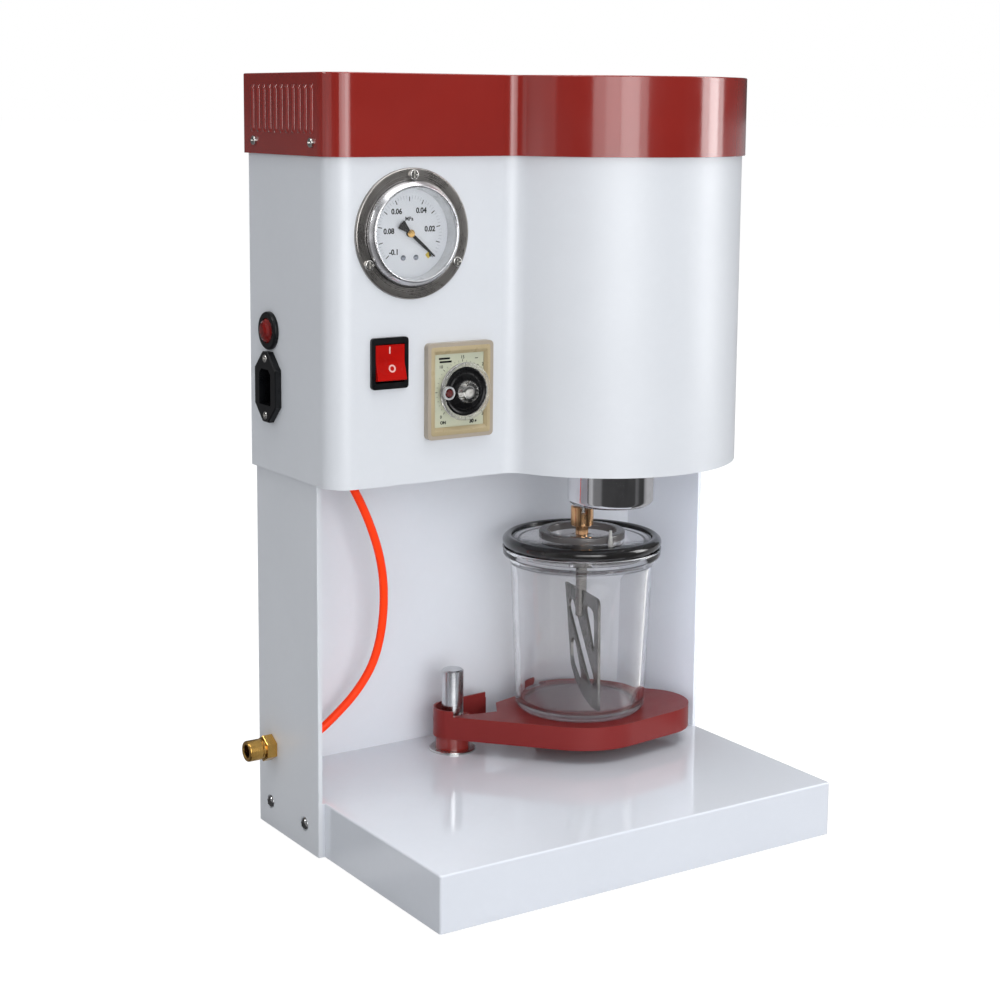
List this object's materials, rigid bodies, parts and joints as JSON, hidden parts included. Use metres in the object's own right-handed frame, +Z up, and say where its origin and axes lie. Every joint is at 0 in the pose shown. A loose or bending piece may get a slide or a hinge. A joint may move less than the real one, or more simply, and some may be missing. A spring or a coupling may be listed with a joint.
{
  "type": "dental impression mixer",
  "caption": "Bench mixer for dental impression material: round-fronted head on a column over a base, swing arm with clear lidded cup and paddle, vacuum gauge, timer and rocker switch.",
  "frame": {"origin": "middle of the footprint at bench level: bottom centre of the whole machine's box, vacuum fitting included", "axes": "+Z up, +Y to the rear panel, +X to the operator's right; the operator stands at -Y"},
  "size_m": [0.3506, 0.2412, 0.524],
  "materials": {
    "white_enamel": "gloss white powder coat",
    "red_enamel": "gloss brick red paint",
    "zinc_sheet": "zinc plated",
    "black_rubber": "smooth",
    "steel": "turned or ground",
    "chrome_plate": "polished",
    "dark_brushed_steel": "circular brushed",
    "clear_plastic": "clear moulded plastic",
    "dial_white": "matt white",
    "black_plastic": "moulded",
    "red_plastic": "translucent red",
    "cream_plastic": "moulded",
    "brass": "turned",
    "red_tube": "orange red tubing"
  },
  "bodies": {
    "housing": {"base_shell": "white_enamel", "base_pan": "zinc_sheet", "rubber_feet": "black_rubber", "post": "steel", "post_washer": "steel", "post_nut": "zinc_sheet", "column_left_panel": "white_enamel", "column_right_panel": "white_enamel", "column_back_panel": "white_enamel", "column_screws": "steel", "head_shell": "white_enamel", "head_rear_panel": "white_enamel", "head_floor": "zinc_sheet", "top_cover": "red_enamel", "case_screws": "steel", "gauge_flange": "dark_brushed_steel", "gauge_bezel": "chrome_plate", "gauge_glass": "clear_plastic", "gauge_case": "black_plastic", "gauge_dial": "dial_white", "gauge_screws": "steel", "switch_housing": "black_plastic", "timer_frame": "cream_plastic", "timer_case": "cream_plastic", "lamp_bezel": "black_plastic", "lamp_lens": "red_plastic", "inlet_housing": "black_plastic", "inlet_pins": "steel", "inlet_screws": "steel", "bulkhead_fitting": "brass", "bulkhead_nut": "zinc_sheet", "vacuum_tube": "red_tube", "tube_grommet": "black_rubber", "vacuum_manifold": "brass", "vacuum_hoses": "red_tube", "vacuum_pump": "black_plastic", "motor_can": "chrome_plate", "motor_stator": "steel", "gear_plate": "zinc_sheet", "gear_pillars": "zinc_sheet", "spindle_bush": "brass", "spindle_bearing": "steel"},
    "swing_arm": {"arm_tray": "red_enamel", "arm_sleeve": "red_enamel"},
    "cup_assembly": {"cup": "clear_plastic", "cup_lid": "clear_plastic", "lid_gasket": "black_rubber", "lid_bush": "steel", "lid_nipple": "steel"},
    "paddle": {"paddle_coupling": "brass", "paddle_shaft": "steel", "paddle_blade": "steel"},
    "drive_spindle": {"spindle": "steel", "spindle_gear": "steel"},
    "rotor": {"motor_rotor": "steel", "motor_pinion": "steel"},
    "rocker": {"rocker_button": "red_plastic"},
    "timer_control": {"timer_dial": "clear_plastic", "timer_knob": "clear_plastic"},
    "pointer": {"gauge_pointer": "black_plastic"}
  },
  "joints": [
    {"name": "arm_swing", "type": "hinge", "parent": "housing", "child": "swing_arm", "pos_m": [-0.01685, 0.0809, 0.05], "axis": [0, 0, 1], "range_deg": [-75, 0]},
    {"name": "cup_slide_off", "type": "slide", "parent": "swing_arm", "child": "cup_assembly", "axis": [-0.3723, -0.9281, 0], "range_m": [0, 0.06]},
    {"name": "paddle_spin", "type": "hinge", "parent": "cup_assembly", "child": "paddle", "pos_m": [0.07165, 0.0454, 0.15], "axis": [0, 0, 1], "continuous": true},
    {"name": "rotor_spin", "type": "hinge", "parent": "housing", "child": "rotor", "pos_m": [0.06665, 0.00445, 0.26], "axis": [0, 0, 1], "continuous": true},
    {"name": "spindle_spin", "type": "hinge", "parent": "housing", "child": "drive_spindle", "pos_m": [0.07165, 0.0454, 0.28], "axis": [0, 0, 1], "continuous": true},
    {"name": "rocker_tilt", "type": "hinge", "parent": "housing", "child": "rocker", "pos_m": [-0.11715, 0.0014, 0.3383], "axis": [1, 0, 0], "range_deg": [0, 16]},
    {"name": "timer_turn", "type": "hinge", "parent": "housing", "child": "timer_control", "pos_m": [-0.06215, -0.0046, 0.3166], "axis": [0, 1, 0], "range_deg": [-45, 225]},
    {"name": "pointer_turn", "type": "hinge", "parent": "housing", "child": "pointer", "pos_m": [-0.09985, 0.0014, 0.4215], "axis": [0, -1, 0], "range_deg": [0, 264], "stiffness_Nm_per_rad": 0.0001}
  ],
  "couplings": [
    {"joint": "spindle_spin", "follows": "rotor_spin", "ratio": -0.26923},
    {"joint": "paddle_spin", "follows": "rotor_spin", "ratio": -0.26923}
  ]
}
